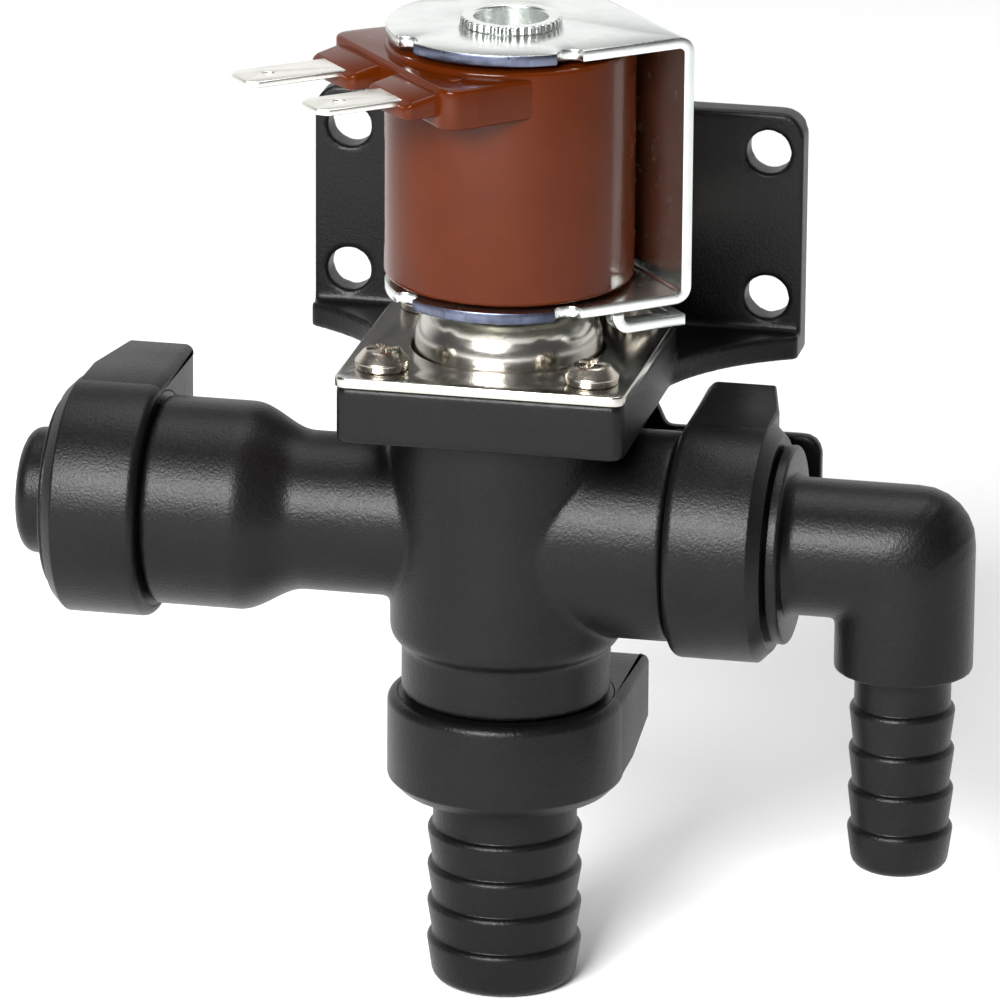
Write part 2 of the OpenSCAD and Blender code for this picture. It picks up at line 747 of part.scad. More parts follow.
// U-shaped spring strip round the bell, its two prongs turned up against the lower arm
clip_t = 1.5;
clip_in_v = 13.3;
clip_out_v = 15.7;
clip_tip_u = 6.6;
clip_low = yoke_z - 2.9;
clip_end_u = 17;
clip_turn_r = 2.4;
module clip_side() {
    translate([clip_tip_u + clip_turn_r, clip_low]) square([clip_end_u - clip_tip_u - clip_turn_r, clip_t]);
    translate([clip_tip_u + clip_turn_r, clip_low + clip_turn_r]) intersection() {
        difference() {
            circle(clip_turn_r);
            circle(clip_turn_r - clip_t);
        }
        translate([-clip_turn_r, -clip_turn_r]) square(clip_turn_r);
    }
    translate([clip_tip_u, clip_low + clip_turn_r])
        square([clip_t, yoke_z - seat_fit - clip_low - clip_turn_r]);
}
module coil_clip() {
    prong_w = clip_out_v - clip_in_v;
    color(zinc) coil_place() {
        for (side = [-1, 1]) translate([0, side * (clip_in_v + clip_out_v) / 2, 0])
            rotate([90, 0, 0]) linear_extrude(prong_w, center = true) clip_side();
        translate([clip_end_u - 1.4, -clip_out_v, clip_low]) cube([1.4, 2 * clip_out_v, clip_t]);
    }
}

// Locking collar: bayonet ring with a flat tab to one side, by which it is turned. The
// left-handed collar has its tab mirrored, so that all three tabs point to the back.
tab_low = 6.3;                  // level of the tab's free end above the axis
module collar_outline(left_handed) {
    tab = [[0, 0], [collar_r, 0], [collar_r, tab_reach], [tab_low, tab_reach], [-2.6, collar_r - 0.5]];
    circle(collar_r);
    polygon([for (p = tab) left_handed ? [p.y, p.x] : p]);
}
module locking_collar(left_handed = false) {
    rim_at = collar_len - collar_bevel;
    lip_len = collar_len - lip_at;
    difference() {
        union() {
            linear_extrude(tab_len) collar_outline(left_handed);
            translate([0, 0, tab_len]) cylinder(r = collar_r, h = rim_at - tab_len);
            translate([0, 0, rim_at]) cylinder(r1 = collar_r, r2 = collar_r - collar_bevel, h = collar_bevel);
        }
        translate([0, 0, -past]) cylinder(r = ledge_r, h = ledge_len + 2 * past);
        translate([0, 0, ledge_len]) cylinder(r = collar_bore_r, h = lip_at - ledge_len);
        translate([0, 0, lip_at - past]) cylinder(r = waist_r + slide_fit, h = lip_len + 2 * past);
        translate([0, 0, -past]) rotate([0, 0, unlock_turn]) lug_pattern()
            sector(collar_bore_r - 0.1, lug_angle + 8, ledge_len + 2 * past);
    }
}
module collar_inlet() { color(moulding) in_place() inlet_port() locking_collar(); }
module collar_elbow() { color(moulding) in_place() elbow_port() locking_collar(true); }
module collar_barb() { color(moulding) in_place() barb_port() locking_collar(true); }

// What every fitting has behind its flange: spigot, ring groove, shoulder and waist
module fitting_root(flange_r, flange_at, flange_t) {
    translate([0, 0, spigot_end]) round_disc(spigot_r, shoulder_at - spigot_end + 0.1, 0.6, 0);
    translate([0, 0, shoulder_at]) cylinder(r = shoulder_r, h = lip_at - shoulder_at - 0.15);
    translate([0, 0, shoulder_at]) cylinder(r = waist_r, h = flange_at - shoulder_at + 0.1);
    translate([0, 0, flange_at]) round_disc(flange_r, flange_t, 0.2, 0.5);
}
module ring_groove() {
    translate([0, 0, ring_at - seat_fit])
        ring(spigot_r + past, ring_in_r - seat_fit, ring_h + 2 * seat_fit);
}
module port_seal() {
    translate([0, 0, ring_at]) rotate_extrude() translate([ring_in_r, 0]) {
        square([socket_bore_r - seat_fit - ring_in_r - 0.4, ring_h]);
        translate([0, 0.4]) square([socket_bore_r - seat_fit - ring_in_r, ring_h - 0.8]);
    }
}

// Half-section of a hose tail: steps that face the flange and slopes towards the open end
function tail_points(root, top, pitch, start) =
    [for (i = [0 : barb_count - 1]) each
        [[root, start + i * pitch], [top - 0.15, start + i * pitch + 0.05],
         [top, start + i * pitch + 0.3], [top, start + i * pitch + 0.9]]];
module hose_tail(root, top, bore, pitch, start, length) {
    end_r = root - 0.15;
    tip_round = 1.7;
    rotate_extrude() difference() {
        polygon(concat([[0, 0], [root, 0]], tail_points(root, top, pitch, start),
                       [[end_r, length - tip_round], [end_r - tip_round * 0.3, length - tip_round * 0.3],
                        [end_r - tip_round, length], [0, length]]));
        translate([-past, -past]) square([bore + past, length + 2 * past]);
    }
}

// Elbow fitting
elbow_flange_at = collar_len + elbow_gap;
elbow_flange_t = 1.5;
elbow_leg_at = collar_len + elbow_out;
small_tail_first = 4.85;
small_tail_len = small_tail_first + barb_count * small_pitch + 0.4;
module elbow_outer() {
    leg_top = elbow_pipe_r + 0.25;
    translate([0, 0, elbow_flange_at]) cylinder(r = elbow_pipe_r, h = elbow_leg_at - elbow_flange_at);
    translate([0, -elbow_drop, elbow_leg_at]) rotate([-90, 0, 0])
        round_disc(elbow_leg_r, elbow_drop + leg_top, 0, elbow_bend_r);
}
module elbow_fitting() {
    color(moulding) in_place() elbow_port() difference() {
        union() {
            fitting_root(elbow_flange_r, elbow_flange_at, elbow_flange_t);
            elbow_outer();
            translate([0, 0, elbow_flange_at + elbow_flange_t]) round_disc(elbow_pipe_r + 0.6, 1, 0, 0.4);
            translate([0, -elbow_drop, elbow_leg_at]) rotate([90, 0, 0])
                hose_tail(small_root_r, small_barb_r, small_bore_r, small_pitch,
                          small_tail_first, small_tail_len);
        }
        ring_groove();
        translate([0, 0, spigot_end - past])
            cylinder(r = small_bore_r, h = elbow_leg_at - spigot_end + past);
        translate([0, small_bore_r + 0.3, elbow_leg_at]) rotate([90, 0, 0])
            cylinder(r = small_bore_r + 0.2, h = elbow_drop + small_tail_len + small_bore_r + past);
    }
}
module elbow_seal() { color(rubber) in_place() elbow_port() port_seal(); }

// Straight fitting
barb_flange_at = collar_len + 0.15;
barb_flange_t = 0.75;
big_tail_at = barb_flange_at + barb_flange_t;
big_tail_first = 4.8;
big_tail_len = big_tail_first + barb_count * big_pitch + 1.1;
module barb_fitting() {
    color(moulding) in_place() barb_port() difference() {
        union() {
            fitting_root(barb_flange_r, barb_flange_at, barb_flange_t);
            translate([0, 0, big_tail_at - 0.1])
                hose_tail(big_root_r, big_barb_r, big_bore_r, big_pitch, big_tail_first, big_tail_len);
        }
        ring_groove();
        translate([0, 0, spigot_end - past])
            cylinder(r = big_bore_r, h = big_tail_at + big_tail_len - spigot_end + 2 * past);
    }
}
module barb_seal() { color(rubber) in_place() barb_port() port_seal(); }

// Inlet cartridge with its release sleeve, toothed ring and tube seal
module inlet_cartridge() {
    color(moulding) in_place() inlet_port() difference() {
        fitting_root(cartridge_flange_r, collar_len + 0.15, cartridge_flange_t);
        ring_groove();
        translate([0, 0, collet_floor])
            cylinder(r = collet_bore_r, h = cartridge_face - collet_floor + past);
        translate([0, 0, seal_at]) cylinder(r = seal_out_r + seat_fit, h = seal_len + past);
        translate([0, 0, tube_stop]) cylinder(r = tube_bore_r, h = seal_at - tube_stop + past);
        translate([0, 0, spigot_end - past])
            cylinder(r = cartridge_bore_r, h = tube_stop - spigot_end + 2 * past);
    }
}
module inlet_cartridge_seal() { color(rubber) in_place() inlet_port() port_seal(); }

collet_slots = 4;
collet_slot_w = 1;
collet_slot_len = 8;
grab_t = 0.5;
grab_groove_r = 7.2;
grab_at = collet_start + 1.2;
module inlet_collet() {
    color(moulding) in_place() inlet_port() difference() {
        translate([0, 0, collet_start]) round_disc(collet_r, collet_end - collet_start, 0.4, 2);
        translate([0, 0, collet_start - past])
            cylinder(r = tube_bore_r, h = collet_end - collet_start + 2 * past);
        translate([0, 0, grab_at - seat_fit])
            cylinder(r = grab_groove_r + seat_fit, h = grab_t + 2 * seat_fit);
        for (i = [0 : collet_slots - 1]) rotate([0, 0, 45 + i * 360 / collet_slots])
            translate([0, -collet_slot_w / 2, collet_start - past])
                cube([collet_r + 1, collet_slot_w, collet_slot_len + past]);
    }
}

grab_teeth = 12;
module inlet_grab_ring() {
    color(steel) in_place() inlet_port() translate([0, 0, grab_at]) difference() {
        ring(grab_groove_r, tube_bore_r, grab_t);
        for (i = [0 : grab_teeth - 1]) rotate([0, 0, i * 360 / grab_teeth])
            translate([tube_bore_r - past, -0.25, -past]) cube([past + 0.5, 0.5, grab_t + 2 * past]);
    }
}

module inlet_tube_seal() {
    color(rubber) in_place() inlet_port() translate([0, 0, seal_at + 0.1])
        ring(seal_out_r, tube_bore_r, seal_len - 0.4);
}

valve_body();
cover_plate();
cover_screws();
guide_tube();
fixed_core();
armature();
armature_seal();
armature_spring();
diaphragm();
diaphragm_insert();
yoke();
upper_pole_bush();
lower_pole_bush();
coil_overmould();
coil_bobbin();
coil_winding();
terminal_front();
terminal_rear();
coil_clip();
collar_inlet();
collar_elbow();
collar_barb();
inlet_cartridge();
inlet_cartridge_seal();
inlet_collet();
inlet_grab_ring();
inlet_tube_seal();
elbow_fitting();
elbow_seal();
barb_fitting();
barb_seal();
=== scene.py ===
import json
import math

import bmesh
import bpy
from mathutils import Matrix, Vector
from mathutils.geometry import tessellate_polygon


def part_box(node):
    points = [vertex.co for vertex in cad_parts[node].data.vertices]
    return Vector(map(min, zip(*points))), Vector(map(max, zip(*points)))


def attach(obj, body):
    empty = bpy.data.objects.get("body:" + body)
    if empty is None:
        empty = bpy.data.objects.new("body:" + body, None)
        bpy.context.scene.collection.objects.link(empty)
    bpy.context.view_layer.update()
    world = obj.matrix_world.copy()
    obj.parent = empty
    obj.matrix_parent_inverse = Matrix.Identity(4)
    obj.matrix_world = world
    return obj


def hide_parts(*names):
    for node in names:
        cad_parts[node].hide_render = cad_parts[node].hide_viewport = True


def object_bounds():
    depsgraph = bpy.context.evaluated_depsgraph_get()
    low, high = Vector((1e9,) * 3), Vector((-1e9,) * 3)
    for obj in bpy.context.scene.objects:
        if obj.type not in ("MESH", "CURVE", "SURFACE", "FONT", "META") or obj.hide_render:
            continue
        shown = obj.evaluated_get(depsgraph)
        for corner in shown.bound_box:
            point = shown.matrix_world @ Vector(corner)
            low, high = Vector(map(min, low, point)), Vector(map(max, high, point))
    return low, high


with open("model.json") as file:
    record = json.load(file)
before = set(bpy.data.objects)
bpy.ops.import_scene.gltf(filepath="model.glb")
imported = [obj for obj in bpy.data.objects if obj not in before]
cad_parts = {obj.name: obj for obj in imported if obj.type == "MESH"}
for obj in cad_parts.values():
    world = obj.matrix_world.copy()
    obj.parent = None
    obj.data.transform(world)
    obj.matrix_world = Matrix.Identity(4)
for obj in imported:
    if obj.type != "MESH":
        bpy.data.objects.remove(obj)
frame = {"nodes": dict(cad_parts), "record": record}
CAD_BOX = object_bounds()

# ---------------------------------------------------------------- the frame
# Piece sizes are in millimetres, measured from the point where the pipe axis
# crosses the valve axis; MM turns them into the frame's metres.
MM = 0.001


def middle(node):
    low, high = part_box(node)
    return (low + high) / 2


def size(node):
    low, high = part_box(node)
    return (high - low) / MM


ORIGIN = Vector((middle("armature").x, middle("inlet_collet").y, middle("inlet_collet").z))


def above(node):
    """A node's lowest and highest z, in millimetres over the origin."""
    low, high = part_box(node)
    return (low.z - ORIGIN.z) / MM, (high.z - ORIGIN.z) / MM


def frame_of(x_axis, y_axis, z_axis, start):
    """A matrix that carries local millimetres into the frame."""
    m = Matrix((x_axis, y_axis, z_axis)).transposed().to_4x4()
    return Matrix.Translation(ORIGIN) @ Matrix.Scale(MM, 4) @ Matrix.Translation(start) @ m


X, Y, Z = Vector((1, 0, 0)), Vector((0, 1, 0)), Vector((0, 0, 1))
COIL_TURN = math.radians(40)
INLET_REACH, ELBOW_REACH, BARB_REACH = 45.6, 22.7, 22.5

UPRIGHT = frame_of(X, Y, Z, Vector((0, 0, 0)))
INLET = frame_of(Z, Y, -X, -X * INLET_REACH)
ELBOW = frame_of(Y, Z, X, X * ELBOW_REACH)
BARB = frame_of(Y, X, -Z, -Z * BARB_REACH)
COIL = UPRIGHT @ Matrix.Rotation(COIL_TURN, 4, "Z")

# ---------------------------------------------------------------- mesh tools
SHARP = math.radians(32)


def shade(bm):
    """Smooth shading everywhere, apart from edges sharper than SHARP."""
    for f in bm.faces:
        f.smooth = True
    for e in bm.edges:
        e.smooth = len(e.link_faces) != 2 or e.calc_face_angle(0) < SHARP


def new_object(bm, name):
    """An object in the scene with bm as its mesh."""
    mesh = bpy.data.meshes.new(name)
    bm.to_mesh(mesh)
    bm.free()
    obj = bpy.data.objects.new(name, mesh)
    bpy.context.scene.collection.objects.link(obj)
    return obj


def finish_mesh(bm, name, place):
    """A shaded object from bm, carried from local millimetres to its place."""
    bmesh.ops.remove_doubles(bm, verts=bm.verts, dist=1e-4)
    bmesh.ops.transform(bm, matrix=place, verts=bm.verts)
    bmesh.ops.recalc_face_normals(bm, faces=bm.faces)
    shade(bm)
    return new_object(bm, name)


def rounded(corners, closed=True, steps=5):
    """Points along an outline whose corners (x, y, radius) are rounded with arcs."""
    out = []
    count = len(corners)
    for i, (x, y, r) in enumerate(corners):
        here = Vector((x, y))
        if r <= 0 or (not closed and i in (0, count - 1)):
            out.append(here)
            continue
        a = (Vector(corners[i - 1][:2]) - here).normalized()
        b = (Vector(corners[(i + 1) % count][:2]) - here).normalized()
        half = a.angle(b) / 2
        reach = r / math.tan(half)
        hub = here + (a + b).normalized() * (r / math.sin(half))
        start, end = here + a * reach - hub, here + b * reach - hub
        sweep = (math.pi - 2 * half) * (1 if start.x * end.y - start.y * end.x > 0 else -1)
        for s in range(steps + 1):
            t = sweep * s / steps
            out.append(hub + Vector((start.x * math.cos(t) - start.y * math.sin(t),
                                     start.x * math.sin(t) + start.y * math.cos(t))))
    return out


def arc(cx, cy, r, start, end, steps=48):
    """Points on an arc, angles in degrees."""
    for s in range(steps + 1):
        t = math.radians(start + (end - start) * s / steps)
        yield Vector((cx + r * math.cos(t), cy + r * math.sin(t)))


def circle(x, y, r, steps=64):
    """A full circle as an outline."""
    return list(arc(x, y, r, 0, 360, steps))[:-1]


def rectangle(w, d, r, steps=6):
    """A rectangle about the origin, with corners of radius r."""
    return rounded([(-w / 2, -d / 2, r), (w / 2, -d / 2, r), (w / 2, d / 2, r),
                    (-w / 2, d / 2, r)], True, steps)


def lathe(bm, profile, around=96, place=None, wave=None):
    """Turns a closed (r, z) outline about z. wave(angle, r, z) may shift a point."""
    place = place or Matrix.Identity(4)
    rings = []
    for s in range(around):
        t = 2 * math.pi * s / around
        ring = []
        for p in profile:
            r, z = (p[0], p[1]) if wave is None else wave(t, p[0], p[1])
            ring.append(bm.verts.new(place @ Vector((r * math.cos(t), r * math.sin(t), z))))
        rings.append(ring)
    for s in range(around):
        a, b = rings[s], rings[(s + 1) % around]
        for i in range(len(profile)):
            j = (i + 1) % len(profile)
            if profile[i][0] < 1e-6 and profile[j][0] < 1e-6:
                continue
            quad = [a[i], a[j], b[j], b[i]]
            if profile[i][0] < 1e-6:
                quad = [a[i], a[j], b[j]]
            elif profile[j][0] < 1e-6:
                quad = [a[i], a[j], b[i]]
            bm.faces.new(quad)


def inset_loop(loop, depth):
    """The outline moved inwards (to its left) by depth, with mitred corners."""
    out = []
    for i, p in enumerate(loop):
        before = (p - loop[i - 1]).normalized()
        after = (loop[(i + 1) % len(loop)] - p).normalized()
        n1, n2 = Vector((-before.y, before.x)), Vector((-after.y, after.x))
        n = (n1 + n2).normalized()
        out.append(p + n * (depth / max(n.dot(n1), 0.4)))
    return out


def edge_profile(z0, z1, low_r, high_r, steps=4):
    """(inset, z) pairs for a prism with rounded lower and upper edges."""
    out = []
    for s in range(steps + 1):
        t = math.pi / 2 * s / steps
        out.append((low_r * (1 - math.sin(t)), z0 + low_r * (1 - math.cos(t))))
    for s in range(steps + 1):
        t = math.pi / 2 * s / steps
        out.append((high_r * (1 - math.cos(t)), z1 - high_r * (1 - math.sin(t))))
    return out


def clean(loop):
    """The loop without repeated points."""
    return [p for i, p in enumerate(loop) if (p - loop[i - 1]).length > 1e-4]


def prism(bm, outline, profile, holes=(), place=None, warp=None):
    """A solid whose walls follow profile's (inset, z) pairs round an outline."""
    place = place or Matrix.Identity(4)
    loops = [clean(outline)] + [clean(list(reversed(h))) for h in holes]
    for k, loop in enumerate(loops):
        area = sum(loop[i - 1].x * p.y - loop[i - 1].y * p.x for i, p in enumerate(loop))
        if (area > 0) != (k == 0):
            loop.reverse()
    layers = []
    for depth, z in profile:
        layer = []
        for loop in loops:
            ring = []
            for p in inset_loop(loop, depth):
                q = Vector((p.x, p.y, z))
                ring.append(bm.verts.new(place @ (warp(q) if warp else q)))
            layer.append(ring)
        layers.append(layer)
    for low, high in zip(layers, layers[1:]):
        for a, b in zip(low, high):
            for i in range(len(a)):
                j = (i + 1) % len(a)
                bm.faces.new((a[i], a[j], b[j], b[i]))
    for layer in (layers[0], layers[-1]):
        flat = [v for ring in layer for v in ring]
        for tri in tessellate_polygon([[v.co for v in ring] for ring in layer]):
            if len(set(tri)) == 3:
                try:
                    bm.faces.new([flat[i] for i in tri])
                except ValueError:
                    pass
    return layers


def applied(obj):
    """obj with its modifiers made part of its mesh."""
    graph = bpy.context.evaluated_depsgraph_get()
    mesh = bpy.data.meshes.new_from_object(obj.evaluated_get(graph))
    obj.modifiers.clear()
    obj.data = mesh
    return obj


def skin(obj, voxel):
    """obj as one closed skin of small even faces, voxel millimetres across."""
    remesh = obj.modifiers.new("skin", "REMESH")
    remesh.mode = "VOXEL"
    remesh.voxel_size = voxel * MM
    remesh.use_smooth_shade = True
    return applied(obj)


def relax(obj, rounds, inside=None):
    """Smooths obj's skin, or only the vertices for which inside(co) is true."""
    bm = bmesh.new()
    bm.from_mesh(obj.data)
    chosen = [v for v in bm.verts if inside is None or inside(v.co)]
    for _ in range(rounds):
        bmesh.ops.smooth_vert(bm, verts=chosen, factor=0.5,
                              use_axis_x=True, use_axis_y=True, use_axis_z=True)
    bm.to_mesh(obj.data)
    bm.free()
    return obj


def cut(obj, tool):
    """obj with the shape of tool taken out of it."""
    boolean = obj.modifiers.new("cut", "BOOLEAN")
    boolean.operation, boolean.solver, boolean.object = "DIFFERENCE", "EXACT", tool
    applied(obj)
    bpy.data.objects.remove(tool)
    bm = bmesh.new()
    bm.from_mesh(obj.data)
    shade(bm)
    bm.to_mesh(obj.data)
    bm.free()
    return obj


def soften(node, name, width, segments=2, angle=30):
    """A copy of a CAD node's shape with its sharp edges rounded off."""
    bm = bmesh.new()
    bm.from_mesh(frame["nodes"][node].data)
    bmesh.ops.transform(bm, matrix=Matrix.Scale(1 / MM, 4), verts=bm.verts)
    bmesh.ops.remove_doubles(bm, verts=bm.verts, dist=2e-3)
    bmesh.ops.dissolve_limit(bm, angle_limit=math.radians(1), verts=bm.verts, edges=bm.edges)
    edges = [e for e in bm.edges
             if len(e.link_faces) == 2 and e.calc_face_angle(0) > math.radians(angle)]
    bmesh.ops.bevel(bm, geom=edges, offset=width, segments=segments, affect="EDGES",
                    clamp_overlap=True, profile=0.5)
    bmesh.ops.triangulate(bm, faces=[f for f in bm.faces if len(f.verts) > 4])
    return finish_mesh(bm, name, Matrix.Scale(MM, 4))


# ---------------------------------------------------------------- materials
def map_range(node, start, end, low, high):
    """Sets a Map Range node to carry start..end onto low..high."""
    for key, number in (("From Min", start), ("From Max", end), ("To Min", low), ("To Max", high)):
        node.inputs[key].default_value = number


class Nodes:
    """Short hand for building one material's node tree."""

    def __init__(self, name):
        self.material = bpy.data.materials.new(name)
        self.material.use_nodes = True
        self.tree = self.material.node_tree
        self.shader = self.tree.nodes["Principled BSDF"]
        self.where = self.add("ShaderNodeTexCoord").outputs["Object"]

    def add(self, kind, **values):
        node = self.tree.nodes.new(kind)
        for key, value in values.items():
            setattr(node, key, value)
        return node

    def link(self, a, b):
        self.tree.links.new(a, b)

    def stretch(self, scale):
        node = self.add("ShaderNodeMapping")
        node.inputs["Scale"].default_value = scale
        self.link(self.where, node.inputs["Vector"])
        return node.outputs["Vector"]

    def noise(self, scale, detail=3, rough=0.55, vector=None):
        node = self.add("ShaderNodeTexNoise")
        node.inputs["Scale"].default_value = scale
        node.inputs["Detail"].default_value = detail
        node.inputs["Roughness"].default_value = rough
        self.link(vector or self.where, node.inputs["Vector"])
        return node.outputs["Fac"]

    def spread(self, value, low, high, start=0.0, end=1.0):
        node = self.add("ShaderNodeMapRange")
        map_range(node, start, end, low, high)
        self.link(value, node.inputs["Value"])
        return node.outputs["Result"]

    def blend(self, factor, a, b):
        node = self.add("ShaderNodeMix", data_type="RGBA")
        self.link(factor, node.inputs["Factor"])
        for socket, colour in ((node.inputs[6], a), (node.inputs[7], b)):
            if isinstance(colour, tuple):
                socket.default_value = (*colour, 1)
            else:
                self.link(colour, socket)
        return node.outputs[2]

    def bump(self, height, strength, distance=0.0001):
        node = self.add("ShaderNodeBump")
        node.inputs["Strength"].default_value = strength
        node.inputs["Distance"].default_value = distance
        self.link(height, node.inputs["Height"])
        self.link(node.outputs["Normal"], self.shader.inputs["Normal"])

    def set(self, **values):
        for key, value in values.items():
            self.shader.inputs[key.replace("_", " ")].default_value = value


def moulded(name, dark, light, rough, grain, spec=0.5, relief=0.2, speck=0.55):
    """A moulded plastic: cloudy colour, fine grain, uneven gloss."""
    n = Nodes(name)
    cloud = n.spread(n.noise(90, 4), 0, 1, 0.35, 0.7)
    dots = n.spread(n.noise(grain, 2), 0, speck, 0.4, 0.75)
    colour = n.blend(cloud, dark, light)
    lighter = tuple(min(1, c * 1.5 + 0.002) for c in light)
    colour = n.blend(dots, colour, lighter)
    n.link(colour, n.shader.inputs["Base Color"])
    gloss = n.spread(n.noise(grain * 0.6, 3), rough - 0.06, rough + 0.08)
    n.link(gloss, n.shader.inputs["Roughness"])
    n.bump(n.noise(grain, 3, 0.6), relief, 0.00006)
    n.set(Specular_IOR_Level=spec)
    return n.material


def metal(name, dark, light, rough, streak, bump=0.12, grain=1400, scale=(1, 1, 1), worn_tone=0.8):
    """A bare or plated metal with streaks or crystals in its finish."""
    n = Nodes(name)
    across = n.stretch(scale)
    lines = n.noise(grain, 4, 0.6, across)
    cloud = n.noise(140, 3)
    colour = n.blend(n.spread(cloud, 0, 1, 0.3, 0.7), dark, light)
    worn = tuple(c * worn_tone for c in dark)
    colour = n.blend(n.spread(lines, 0, 0.35, 0.45, 0.8), colour, worn)
    n.link(colour, n.shader.inputs["Base Color"])
    gloss = n.spread(lines, rough - streak, rough + streak, 0.25, 0.75)
    n.link(gloss, n.shader.inputs["Roughness"])
    n.bump(lines, bump, 0.00004)
    n.set(Metallic=1.0)
    return n.material


MATERIALS = {
    "body_plastic": moulded("body_plastic", (0.0020, 0.0018, 0.0017), (0.0044, 0.0040, 0.0038),
                            0.35, 2600, spec=0.20, relief=1.0),
    "coil_plastic": moulded("coil_plastic", (0.058, 0.0090, 0.0006), (0.068, 0.0110, 0.0008),
                            0.15, 260, spec=0.17, relief=0.05, speck=0.12),
    "bobbin_plastic": moulded("bobbin_plastic", (0.30, 0.28, 0.24), (0.42, 0.40, 0.35),
                              0.45, 1500),
    "insert_plastic": moulded("insert_plastic", (0.55, 0.54, 0.50), (0.68, 0.67, 0.62),
                              0.4, 1500),
    "seal_rubber": moulded("seal_rubber", (0.008, 0.008, 0.008), (0.018, 0.018, 0.018),
                           0.62, 3200),
    "cover_steel": metal("cover_steel", (0.46, 0.45, 0.41), (0.54, 0.53, 0.49), 0.20, 0.07,
                         grain=900, scale=(1, 0.10, 1)),
    "tube_steel": metal("tube_steel", (0.50, 0.48, 0.44), (0.60, 0.58, 0.53), 0.20, 0.05,
                        grain=900, scale=(1, 1, 6)),
    "screw_steel": metal("screw_steel", (0.42, 0.38, 0.33), (0.62, 0.57, 0.50), 0.25, 0.07),
    "core_steel": metal("core_steel", (0.45, 0.46, 0.48), (0.58, 0.59, 0.60), 0.3, 0.06),
    "zinc_steel": metal("zinc_steel", (0.72, 0.75, 0.73), (0.80, 0.83, 0.80), 0.25, 0.04,
                        0.02, 420, worn_tone=0.95),
    "sheared_edge": metal("sheared_edge", (0.028, 0.034, 0.062), (0.20, 0.22, 0.30), 0.34, 0.10,
                          0.5, 1500, scale=(1, 1, 0.25)),
    "terminal_tin": metal("terminal_tin", (0.74, 0.73, 0.68), (0.84, 0.83, 0.78), 0.3, 0.06,
                          0.04, 700, scale=(1, 0.3, 1), worn_tone=0.92),
    "winding_copper": metal("winding_copper", (0.55, 0.22, 0.09), (0.74, 0.34, 0.15), 0.3, 0.08,
                            scale=(1, 1, 8)),
}
SLOT_OF = {part["node"]: part["material_slot"] for part in frame["record"]["subparts"]}


def dress(obj, slot, body, *nodes):
    """Gives a piece its finish and its body, and hides the CAD nodes that it stands for."""
    obj.data.materials.clear()
    obj.data.materials.append(MATERIALS[slot])
    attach(obj, body)
    if nodes:
        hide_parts(*nodes)
    return obj


# ---------------------------------------------------------------- valve body
BODY_VOXEL, BODY_KEEP = 0.42, 0.30
PIPE_R, SOCKET_R = 10.3, 13.5
FLARE_START, FLARE_END = 26.0, 34.2


def valve_body():
    """The moulding, with a fillet wherever two of its shapes meet."""
    bm = bmesh.new()
    bm.from_mesh(frame["nodes"]["valve_body"].data)
    bmesh.ops.remove_doubles(bm, verts=bm.verts, dist=2e-6)
    obj = skin(new_object(bm, "valve_body_moulding"), BODY_VOXEL)
    for v in obj.data.vertices:
        p = (v.co - ORIGIN) / MM
        spread = math.hypot(p.y, p.z)
        if FLARE_START < -p.x < FLARE_END and PIPE_R - 1 < spread < SOCKET_R + 1:
            t = (-p.x - FLARE_START) / (FLARE_END - FLARE_START)
            radius = PIPE_R + (SOCKET_R - PIPE_R) * t * t * (3 - 2 * t)
            v.co.y = ORIGIN.y + p.y * radius / spread * MM
            v.co.z = ORIGIN.z + p.z * radius / spread * MM
    relax(obj, 3)
    thin = obj.modifiers.new("thin", "DECIMATE")
    thin.ratio = BODY_KEEP
    return dress(obj, "body_plastic", "valve_body", "valve_body")


valve_body()

# ---------------------------------------------------------------- collars
COLLAR_R, COLLAR_LEN, COLLAR_HOLE_R = 15.3, 12.6, 12.15
COLLAR_LIP_R, COLLAR_LIP_T, COLLAR_SEAM = 9.8, 1.5, 0.12
COLLAR_ROUND, COLLAR_BEVEL = 1.2, 1.5
TAB_REACH, TAB_LOW, TAB_CORNER = 18.6, 6.3, 0.6
TAB_FOOT = (-2.6, COLLAR_R - 0.5)
TAB_BEND, TAB_END = 8.0, 8.8  # where the tab starts to thin, and its height at its end
TAB_UNDER = 0.05  # how far the tab's round part stays inside the ring


